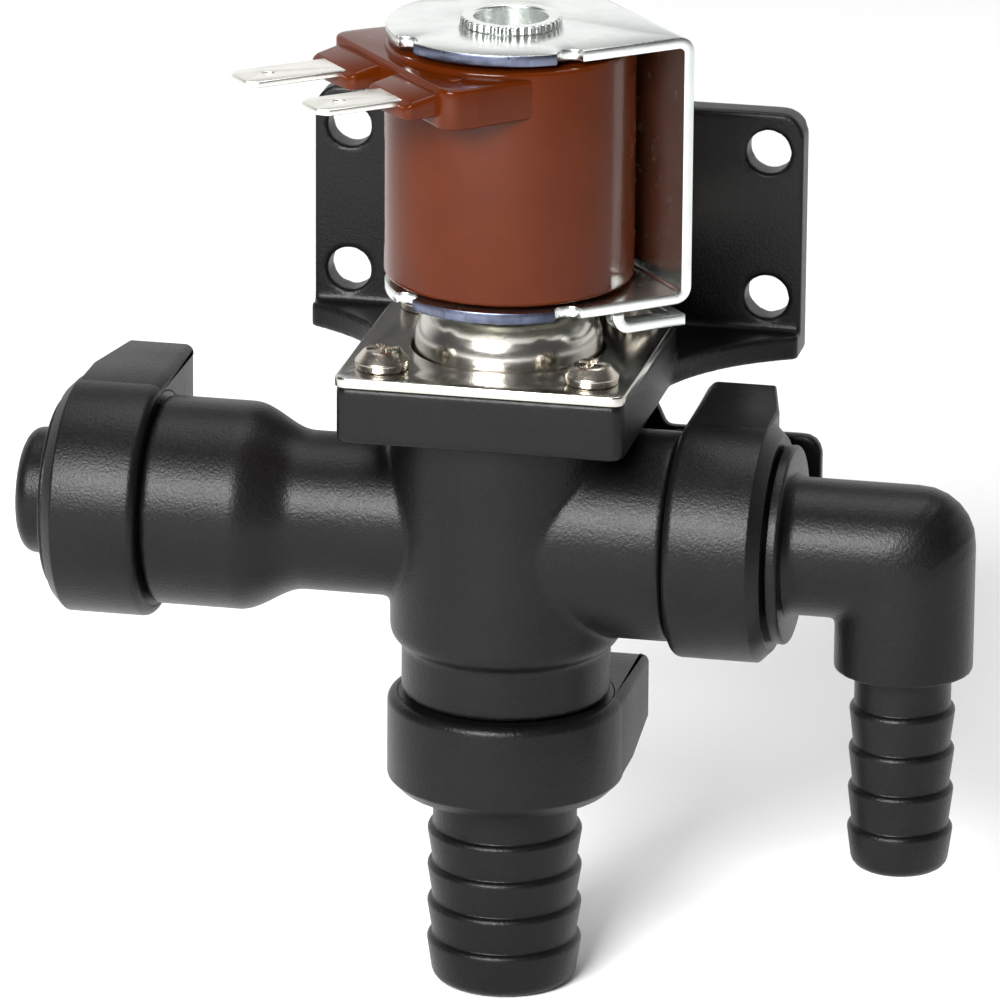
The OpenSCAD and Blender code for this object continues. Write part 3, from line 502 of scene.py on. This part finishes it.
def collar(name, place, left_handed):
    """A locking collar: a ring with a grip tab that thins towards its end."""
    foot = math.degrees(math.atan2(TAB_FOOT[1], TAB_FOOT[0]))
    outline = list(arc(0, 0, COLLAR_R - TAB_UNDER, foot, 360, 72))
    outline += rounded([(COLLAR_R, 0.2, 0), (COLLAR_R, TAB_REACH, TAB_CORNER),
                        (TAB_LOW, TAB_REACH, TAB_CORNER), (*TAB_FOOT, 0)], closed=False)
    top = COLLAR_LEN - COLLAR_BEVEL
    bm = bmesh.new()
    prism(bm, outline, edge_profile(COLLAR_SEAM, top, COLLAR_ROUND, 0.45, 5),
          [circle(0, 0, COLLAR_HOLE_R + 0.6, 96)])
    for level in (TAB_BEND, (TAB_BEND + TAB_REACH) / 2):
        everything = bm.verts[:] + bm.edges[:] + bm.faces[:]
        bmesh.ops.bisect_plane(bm, geom=everything, plane_co=(0, level, 0), plane_no=(0, 1, 0))
    for v in bm.verts:
        run = max(0.0, v.co.y - TAB_BEND) / (TAB_REACH - TAB_BEND)
        share = max(0.0, (v.co.z - COLLAR_ROUND) / (top - COLLAR_ROUND))
        v.co.z -= share * run * (top - TAB_END)
        if left_handed:
            v.co = v.co.yxz
    lathe(bm, rounded([(COLLAR_HOLE_R, COLLAR_SEAM, 0), (COLLAR_R, COLLAR_SEAM, COLLAR_ROUND),
                       (COLLAR_R, top, 0.5), (COLLAR_R - COLLAR_BEVEL, COLLAR_LEN, 0.35),
                       (COLLAR_LIP_R, COLLAR_LEN, 0.2), (COLLAR_LIP_R, COLLAR_LEN - COLLAR_LIP_T, 0),
                       (COLLAR_HOLE_R, COLLAR_LEN - COLLAR_LIP_T, 0)], True, 5), 128)
    obj = finish_mesh(bm, name + "_ring", place)
    return dress(obj, "body_plastic", name, name)


collar("collar_inlet", INLET, False)
collar("collar_elbow", ELBOW, True)
collar("collar_barb", BARB, True)

# ---------------------------------------------------------------- hose fittings
RIDGES = 4
SPIGOT_DEPTH, SPIGOT_R, SHOULDER_AT, SHOULDER_R = 13.0, 9.0, 8.4, 9.3


def ridge_tail(start, root, top, pitch, length, bore):
    """The (r, z) outline of a hose tail from its root to its rounded end."""
    points = [(root + 1.0, start - 0.2, 0), (root, start + 0.9, 0.7)]
    for i in range(RIDGES):
        z = start + pitch[0] + i * pitch[1]
        points += [(root, z - 0.05, 0.25), (top, z + 0.1, 0.75)]
    points += [(root - 0.1, start + length, 1.6), (bore + 0.25, start + length, 0.3),
               (bore, start + length - 0.5, 0.3), (bore, start + 0.5, 0)]
    return points


def fitting(name, place, body, nodes, outlines):
    """One piece made of several turned outlines, each with its own place."""
    bm = bmesh.new()
    for corners, local in outlines:
        lathe(bm, rounded(corners, True, 4), 96, local)
    obj = finish_mesh(bm, name, place)
    return dress(obj, "body_plastic", body, *nodes)


def flange(radius, start, thick, bore):
    """A thin round flange with soft edges."""
    return [(bore, start, 0), (radius - 0.1, start, 0.15), (radius, start + thick, 0.45),
            (bore, start + thick, 0)]


def spigot(bore, end):
    """The (r, z) outline of the plug that turns in the body's socket."""
    return [(bore, -SPIGOT_DEPTH, 0), (SPIGOT_R, -SPIGOT_DEPTH, 0.5), (SPIGOT_R, SHOULDER_AT, 0),
            (SHOULDER_R, SHOULDER_AT, 0), (SHOULDER_R, end, 0), (bore, end, 0)]


HERE = Matrix.Identity(4)
BARB_BORE, BARB_SPIGOT_BORE, BARB_SPIGOT_END = 6.6, 6.9, 12.9
BARB_FLANGE_R, BARB_FLANGE_AT, BARB_FLANGE_T = 11.55, 12.78, 0.75
BARB_FROM, BARB_ROOT, BARB_TOP, BARB_LEN = 13.4, 9.35, 10.15, 26.0
BARB_STEPS = (4.8, 5.03)  # to the first ridge, and from ridge to ridge
fitting("barb_hose_tail", BARB, "barb", ["barb_fitting"], [
    (spigot(BARB_SPIGOT_BORE, BARB_SPIGOT_END), HERE),
    (flange(BARB_FLANGE_R, BARB_FLANGE_AT, BARB_FLANGE_T, BARB_BORE), HERE),
    (ridge_tail(BARB_FROM, BARB_ROOT, BARB_TOP, BARB_STEPS, BARB_LEN, BARB_BORE), HERE),
])

LEG_AT, LEG_TOP, LEG_DROP, LEG_R = 29.1, 7.0, 15.4, 8.9
ELBOW_PIPE_R, BEND_R, SMALL_BORE, ELBOW_SPIGOT_BORE = 8.85, 7.2, 4.4, 4.5
ELBOW_FLANGE_R, ELBOW_FLANGE_AT, ELBOW_FLANGE_T, ELBOW_FLANGE_BORE = 12.8, 13.12, 1.45, 7.0
NECK_FROM, NECK_END = 13.2, 18.0
BEND_FROM, BEND_TAIL = 15.0, 6.3  # where the bend's first section is, and how far its last drops
TAIL_ROOT, TAIL_TOP, TAIL_LEN = 6.2, 6.85, 27.3
TAIL_STEPS = (5.35, 5.36)
PIPES_VOXEL, CREASE = 0.27, 4.5
leg = Matrix.Translation((0, 0, LEG_AT)) @ Matrix.Rotation(math.radians(90), 4, "X")
HALF = (ELBOW_PIPE_R + LEG_R) / 2
OUTER_X = LEG_AT + LEG_R


def reach_at(angle):
    """How far the elbow's outside is from its inner corner, at an angle."""
    box_x, box_z = OUTER_X - (LEG_AT - LEG_R), 2 * ELBOW_PIPE_R
    way = Vector((math.sin(angle), math.cos(angle)))
    hub = Vector((box_x - BEND_R, box_z - BEND_R))
    flat = min(box_z / max(way.y, 1e-6), box_x / max(way.x, 1e-6))
    hit = way * flat
    if hit.x <= hub.x or hit.y <= hub.y:
        return flat
    along = way.dot(hub)
    return along + math.sqrt(max(0.0, BEND_R ** 2 - (hub.length_squared - along ** 2)))


def bend(bm, around=72, turns=18):
    """The elbow's outside: round sections that swing about its inner corner."""
    inner = Vector((LEG_AT - LEG_R, 0, -ELBOW_PIPE_R))
    sections = [(inner + Vector((BEND_FROM - inner.x, 0, 0)), 0.0)]
    sections += [(inner, math.pi / 2 * i / turns) for i in range(turns + 1)]
    sections += [(inner + Vector((0, 0, -BEND_TAIL)), math.pi / 2)]
    rings = []
    for corner, angle in sections:
        out = Vector((math.sin(angle), 0, math.cos(angle)))
        half = reach_at(angle) / 2
        ring = []
        for k in range(around):
            t = 2 * math.pi * k / around
            p = corner + out * (half * (1 + math.cos(t))) + Vector((0, HALF * math.sin(t), 0))
            ring.append(bm.verts.new((p.y, p.z, p.x)))
        rings.append(ring)
    for a, b in zip(rings, rings[1:]):
        for k in range(around):
            bm.faces.new((a[k], a[(k + 1) % around], b[(k + 1) % around], b[k]))
    bm.faces.new(rings[0])
    bm.faces.new(rings[-1])


bm = bmesh.new()
bend(bm)
lathe(bm, rounded([(SMALL_BORE, LEG_TOP, 0), (LEG_R, LEG_TOP, 0), (LEG_R, LEG_DROP, 1.3),
                   (SMALL_BORE, LEG_DROP, 0)], True, 5), 96, leg)
lathe(bm, rounded([(ELBOW_SPIGOT_BORE, NECK_FROM, 0), (ELBOW_PIPE_R + 0.8, 14.0, 0),
                   (ELBOW_PIPE_R, 15.5, 0.8), (ELBOW_PIPE_R, NECK_END, 0),
                   (ELBOW_SPIGOT_BORE, NECK_END, 0)], True, 5), 96)
pipes = skin(finish_mesh(bm, "elbow_pipes", ELBOW), PIPES_VOXEL)


def at_crease(co):
    """True round the elbow's inner corner, where its two pipes meet."""
    p = (co - ORIGIN) / MM
    return abs(p.x - ELBOW_REACH - LEG_AT + LEG_R) < CREASE and abs(p.z + ELBOW_PIPE_R) < CREASE


relax(pipes, 8, at_crease)
relax(pipes, 2)
elbow = fitting("elbow_hose_tail", ELBOW, "elbow", ["elbow_fitting"], [
    (spigot(ELBOW_SPIGOT_BORE, NECK_FROM), HERE),
    (flange(ELBOW_FLANGE_R, ELBOW_FLANGE_AT, ELBOW_FLANGE_T, ELBOW_FLANGE_BORE), HERE),
    (ridge_tail(LEG_DROP - 0.6, TAIL_ROOT, TAIL_TOP, TAIL_STEPS, TAIL_LEN, SMALL_BORE), leg),
])
bm = bmesh.new()
bm.from_mesh(elbow.data)
bm.from_mesh(pipes.data)
bm.to_mesh(elbow.data)
bm.free()
bpy.data.objects.remove(pipes)

# ---------------------------------------------------------------- inlet stub
COLLET_R, COLLET_FROM, COLLET_END, TUBE_R = 8.2, 4.0, 17.8, 6.1
bm = bmesh.new()
lathe(bm, rounded([(TUBE_R, COLLET_FROM, 0), (COLLET_R, COLLET_FROM, 0), (COLLET_R, COLLET_END, 1.8),
                   (TUBE_R + 0.6, COLLET_END, 0.3), (TUBE_R, COLLET_END - 0.6, 0.3)], True, 6))
dress(finish_mesh(bm, "inlet_stub", INLET), "body_plastic", "inlet_collet", "inlet_collet")

# ---------------------------------------------------------------- cover, bell, screws
BLOCK_TOP, PLATE_TOP = above("cover_plate")
PLATE_W, PLATE_D = size("cover_plate").x, size("cover_plate").y
BELL_R, BELL_TOP, BELL_ROUND, GUIDE_R = 12.0, 30.2, 4.7, 4.5
SCREW_PITCH_X, SCREW_PITCH_Y, SCREW_R, SCREW_HEAD_R = 27.0, 26.5, 1.75, 3.5
SCREW_HEAD_H, SCREW_END, SCREW_TIP_R = 2.5, -7.9, 1.2
PLATE_CORNER, PLATE_EASE, BELL_EASE, SCREW_EASE = 1.7, 0.01, 0.4, 0.05
BELL_FLANGE_R, BELL_FLANGE_T, BELL_WALL, TUBE_WALL = 14.2, 0.6, 0.8, 0.6


SCREWS = [(sx * SCREW_PITCH_X / 2, sy * SCREW_PITCH_Y / 2) for sx in (-1, 1) for sy in (-1, 1)]
bm = bmesh.new()
prism(bm, rectangle(PLATE_W - PLATE_EASE, PLATE_D - PLATE_EASE, PLATE_CORNER),
      edge_profile(BLOCK_TOP, PLATE_TOP, 0.1, 0.28),
      [circle(0, 0, BELL_R + BELL_EASE, 96)]
      + [circle(x, y, SCREW_R + SCREW_EASE, 24) for x, y in SCREWS])
dress(finish_mesh(bm, "cover_plate_pressing", UPRIGHT), "cover_steel", "valve_body", "cover_plate")

tube_top = above("guide_tube")[1]
bm = bmesh.new()
bell = [(BELL_FLANGE_R, BLOCK_TOP - BELL_FLANGE_T, 0), (BELL_FLANGE_R, BLOCK_TOP - 0.02, 0),
        (BELL_R + 0.35, BLOCK_TOP - 0.02, 0), (BELL_R, BLOCK_TOP + 0.5, 0.5),
        (BELL_R, BELL_TOP, BELL_ROUND), (GUIDE_R + 0.6, BELL_TOP - 0.02, 0.5),
        (GUIDE_R, BELL_TOP + 0.6, 0.5), (GUIDE_R, tube_top, 0.3), (GUIDE_R - TUBE_WALL, tube_top, 0),
        (GUIDE_R - TUBE_WALL, BELL_TOP - BELL_WALL, 0),
        (BELL_R - BELL_WALL, BELL_TOP - BELL_WALL, BELL_ROUND - BELL_WALL),
        (BELL_R - BELL_WALL, BLOCK_TOP - BELL_FLANGE_T, 0)]
lathe(bm, rounded(bell, True, 8), 128)
dress(finish_mesh(bm, "guide_tube_bell", UPRIGHT), "tube_steel", "valve_body", "guide_tube")


def cross_recess(steps):
    """A cross-shaped outline with softened corners."""
    reach, half, end_r, inner_r = 2.05, 0.48, 0.22, 0.1
    corners = []
    for k in range(4):
        turn = Matrix.Rotation(math.radians(90 * k), 2)
        for x, y in ((reach, -half), (reach, half), (half, half)):
            p = turn @ Vector((x, y))
            corners.append((p.x, p.y, end_r if x == reach else inner_r))
    return rounded(corners, True, steps)


bm, recess = bmesh.new(), bmesh.new()
for i, (x, y) in enumerate(SCREWS):
    turn = Matrix.Rotation(math.radians(23 + 31 * i), 4, "Z")  # each screw stops at its own angle
    spin = Matrix.Translation((x, y, PLATE_TOP + 0.03)) @ turn
    dome = [(0, SCREW_END, 0), (SCREW_TIP_R, SCREW_END, 0), (SCREW_R - 0.03, -7.2, 0),
            (SCREW_R - 0.03, 0, 0), (SCREW_HEAD_R - 0.1, 0, 0.15), (SCREW_HEAD_R, 1.05, 0.5),
            (SCREW_HEAD_R - 1.25, SCREW_HEAD_H, 1.1), (0, SCREW_HEAD_H + 0.04, 0)]
    lathe(bm, rounded(dome, False, 5), 64, spin)
    slope = [(0.4, SCREW_HEAD_H - 1.5), (0.05, SCREW_HEAD_H - 0.3), (-0.06, SCREW_HEAD_H + 0.5)]
    prism(recess, cross_recess(3), slope, (), spin)
heads = cut(finish_mesh(bm, "cover_screw_heads", UPRIGHT),
            finish_mesh(recess, "recess_tool", UPRIGHT))
dress(heads, "screw_steel", "valve_body", "cover_screws")

# ---------------------------------------------------------------- coil
COIL_R = 15.9
COIL_Z, COIL_TOP = 33.85, 64.35
HEAD_U, HEAD_H, HEAD_CORNER, LOBE_U, LOBE_W = 17.5, 6.0, 2.2, 22.2, 11.4
HEAD_FROM, HEAD_WIDE_AT, HEAD_HALF = 4.0, 13.0, 15.8
LOBE_DROP, TIP_DROP, LOBE_H = 0.75, 2.4, 4.6
BLADE_W, BLADE_T, BLADE_PITCH, BLADE_Z = 6.3, 0.8, 15.4, 61.45
BORE_R = 6.25
RING_MARK, RING_AT = [(0, 0), (1.05, 0), (1.05, 0.18), (0.8, 0.3), (0, 0.3)], (-13.6, -10.75)

bm = bmesh.new()
lathe(bm, rounded([(BORE_R, COIL_Z, 0.3), (COIL_R, COIL_Z, 0.7), (COIL_R, COIL_TOP, 0.5),
                   (BORE_R, COIL_TOP, 0.3)], True, 5), 160)
prism(bm, rounded([(-HEAD_FROM, -HEAD_HALF + 0.8, 0), (-HEAD_FROM, HEAD_HALF - 0.8, 0),
                   (-HEAD_WIDE_AT, HEAD_HALF, 3), (-HEAD_U, HEAD_HALF, HEAD_CORNER),
                   (-HEAD_U, -HEAD_HALF, HEAD_CORNER), (-HEAD_WIDE_AT, -HEAD_HALF, 3)]),
      edge_profile(COIL_TOP - HEAD_H, COIL_TOP - LOBE_DROP, 0.5, 0.5))


def lobe_slope(p):
    """The lobe's top falls away towards its tip, and its underside rises."""
    run = max(0.0, (-p.x - HEAD_U) / (LOBE_U - HEAD_U))
    high = COIL_TOP - LOBE_DROP - run * TIP_DROP
    low = COIL_TOP - LOBE_H
    share = (p.z - low) / (COIL_TOP - LOBE_DROP - low)
    return Vector((p.x, p.y, low + share * (high - low)))


for side in (-1, 1):
    mid = side * BLADE_PITCH / 2
    half = LOBE_W / 2
    outline = rounded([(-HEAD_U + 4, mid - half, 0), (-HEAD_U + 4, mid + half, 0),
                       (-LOBE_U + 0.6, mid + half - 0.2, 1.1), (-LOBE_U, mid, 0),
                       (-LOBE_U + 0.6, mid - half + 0.2, 1.1)])
    edges = edge_profile(COIL_TOP - LOBE_H, COIL_TOP - LOBE_DROP + 0.02, 0.4, 0.45)
    prism(bm, outline, edges, warp=lobe_slope)
lathe(bm, RING_MARK, 32, Matrix.Translation((*RING_AT, COIL_TOP - LOBE_DROP - 0.1)))
dress(finish_mesh(bm, "coil_overmould_shell", COIL), "coil_plastic", "coil", "coil_overmould")

BLADE_FROM, TIP_CUT, DIMPLE_R, DIMPLE_IN = 15, 1.2, 0.8, 4.2
for name, side, tip in (("terminal_front", -1, 32.4), ("terminal_rear", 1, 34.5)):
    mid = side * BLADE_PITCH / 2
    half = BLADE_W / 2
    corners = [(-BLADE_FROM, mid - half, 0), (-BLADE_FROM, mid + half, 0),
               (-tip + TIP_CUT, mid + half, 0.4), (-tip, mid + half - TIP_CUT, 0.4),
               (-tip, mid - half + TIP_CUT, 0.4), (-tip + TIP_CUT, mid - half, 0.4)]
    bm = bmesh.new()
    edges = edge_profile(BLADE_Z - BLADE_T / 2, BLADE_Z + BLADE_T / 2, 0.18, 0.18, 3)
    prism(bm, rounded(corners, True, 3), edges, [circle(-tip + DIMPLE_IN, mid, DIMPLE_R, 28)])
    dress(finish_mesh(bm, name + "_blade", COIL), "terminal_tin", "coil", name)

NOTCH_FROM, NOTCH_TO, RIM_R = 187, 266, 15.2


def sheared_rim(obj):
    """Gives the cut edge between the yoke's two notches its own darker finish."""
    obj.data.materials.append(MATERIALS["sheared_edge"])
    to_coil = COIL.inverted()
    turned = to_coil.to_3x3().normalized()
    for f in obj.data.polygons:
        p = to_coil @ f.center
        angle = math.degrees(math.atan2(p.y, p.x)) % 360
        at_rim = math.hypot(p.x, p.y) > RIM_R and abs((turned @ f.normal).z) < 0.5
        if at_rim and NOTCH_FROM < angle < NOTCH_TO:
            f.material_index = 1


sheared_rim(dress(soften("yoke", "yoke_bracket", 0.22), "zinc_steel", "coil", "yoke"))
dress(soften("coil_clip", "coil_clip_strip", 0.2), "zinc_steel", "coil", "coil_clip")

KNURL_R, KNURL_H, BUSH_R, BUSH_BORE, YOKE_TOP = 6.45, 1.0, 6.1, 4.72, 66.6
TEETH, TOOTH_DEPTH = 40, 0.22


def knurl(angle, r, z):
    """Teeth round the rim above the yoke."""
    if r < BUSH_R or z < YOKE_TOP + 0.02:
        return r, z
    return r - TOOTH_DEPTH * (0.5 + 0.5 * math.cos(angle * TEETH)), z


bush_low = above("upper_pole_bush")[0]
bm = bmesh.new()
lathe(bm, rounded([(BUSH_BORE, bush_low, 0), (BUSH_R, bush_low, 0.2), (BUSH_R, YOKE_TOP, 0),
                   (KNURL_R, YOKE_TOP + 0.03, 0.1), (KNURL_R, YOKE_TOP + KNURL_H, 0.35),
                   (BUSH_BORE, YOKE_TOP + KNURL_H, 0.3)], True, 4), TEETH * 8, None, knurl)
dress(finish_mesh(bm, "upper_bush_knurl", COIL), "zinc_steel", "coil", "upper_pole_bush")

# ---------------------------------------------------------------- carried-over CAD nodes
for name, node in frame["nodes"].items():
    if not node.hide_render:
        node.data.materials.clear()
        node.data.materials.append(MATERIALS[SLOT_OF[name]])

# ---------------------------------------------------------------- studio
FLOOR = CAD_BOX[0][2]
bm = bmesh.new()
bmesh.ops.create_grid(bm, x_segments=8, y_segments=8, size=4)
floor = finish_mesh(bm, "studio_floor", Matrix.Translation((0, 0, FLOOR)))
paper = Nodes("studio_paper")
tone = paper.blend(paper.noise(8, 3), (0.90, 0.90, 0.90), (0.93, 0.93, 0.93))
paper.link(tone, paper.shader.inputs["Base Color"])
paper.link(paper.spread(paper.noise(60, 3), 0.8, 0.95), paper.shader.inputs["Roughness"])
floor.data.materials.append(paper.material)

# A white wall behind the table, under a dark ceiling; the rest of the room is dim.
world = bpy.data.worlds.new("studio_world")
bpy.context.scene.world = world
world.use_nodes = True
sky = world.node_tree
direction = sky.nodes.new("ShaderNodeTexCoord").outputs["Generated"]
split = sky.nodes.new("ShaderNodeSeparateXYZ")
sky.links.new(direction, split.inputs[0])
product = sky.nodes.new("ShaderNodeMath")
product.operation = "MULTIPLY"
WALL_FADES = (("Z", 0.42, 0.66, 1.0, 0.0), ("Y", 0.0, 0.45, 0.0, 1.05))
ROOM_LIGHT = 0.10
for k, (axis, start, end, low, high) in enumerate(WALL_FADES):
    ramp = sky.nodes.new("ShaderNodeMapRange")
    map_range(ramp, start, end, low, high)
    sky.links.new(split.outputs[axis], ramp.inputs["Value"])
    sky.links.new(ramp.outputs["Result"], product.inputs[k])
room = sky.nodes.new("ShaderNodeMath")
room.operation = "ADD"
room.inputs[1].default_value = ROOM_LIGHT
sky.links.new(product.outputs[0], room.inputs[0])
sky.nodes["Background"].inputs["Color"].default_value = (1, 1, 1, 1)
sky.links.new(room.outputs[0], sky.nodes["Background"].inputs["Strength"])


def soft_light(name, where, aim, wide, high, power):
    """A rectangular soft box at `where`, facing `aim` (millimetres from the origin)."""
    data = bpy.data.lights.new(name, "AREA")
    data.shape = "RECTANGLE"
    data.size, data.size_y = wide * MM, high * MM
    data.energy = power
    light = bpy.data.objects.new(name, data)
    bpy.context.scene.collection.objects.link(light)
    light.location = ORIGIN + Vector(where) * MM
    way = (Vector(aim) - Vector(where)).normalized()
    light.rotation_euler = way.to_track_quat("-Z", "Y").to_euler()


soft_light("key_front", (-200, -900, 540), (0, 0, 10), 520, 430, 26)
soft_light("fill_top", (0, 250, 1000), (0, 0, 0), 800, 600, 6)

# The camera's place, from its angles and distance to the origin.
AZIMUTH, ELEVATION, ROLL = math.radians(11.77), math.radians(18.59), math.radians(0.426)
DISTANCE, AIM_RIGHT, AIM_UP = 1125.2, -0.94, 3.06
LENS, SENSOR = 315.8, 36
back = Vector((math.sin(AZIMUTH) * math.cos(ELEVATION), -math.cos(AZIMUTH) * math.cos(ELEVATION),
               math.sin(ELEVATION)))
right = Vector((math.cos(AZIMUTH), math.sin(AZIMUTH), 0))
up = back.cross(right)
eye = ORIGIN + back * DISTANCE * MM
aim = ORIGIN + (right * AIM_RIGHT + up * AIM_UP) * MM
look = (eye - aim).normalized()
side = Z.cross(look).normalized()
top = look.cross(side)
across = side * math.cos(ROLL) + top * math.sin(ROLL)
tall = top * math.cos(ROLL) - side * math.sin(ROLL)
camera_data = bpy.data.cameras.new("studio_camera")
camera_data.lens, camera_data.sensor_width = LENS, SENSOR
camera_data.clip_end = 20
camera = bpy.data.objects.new("studio_camera", camera_data)
bpy.context.scene.collection.objects.link(camera)
camera.matrix_world = Matrix.Translation(eye) @ Matrix((across, tall, look)).transposed().to_4x4()
bpy.context.scene.camera = camera
bpy.context.scene.view_settings.view_transform = "Standard"
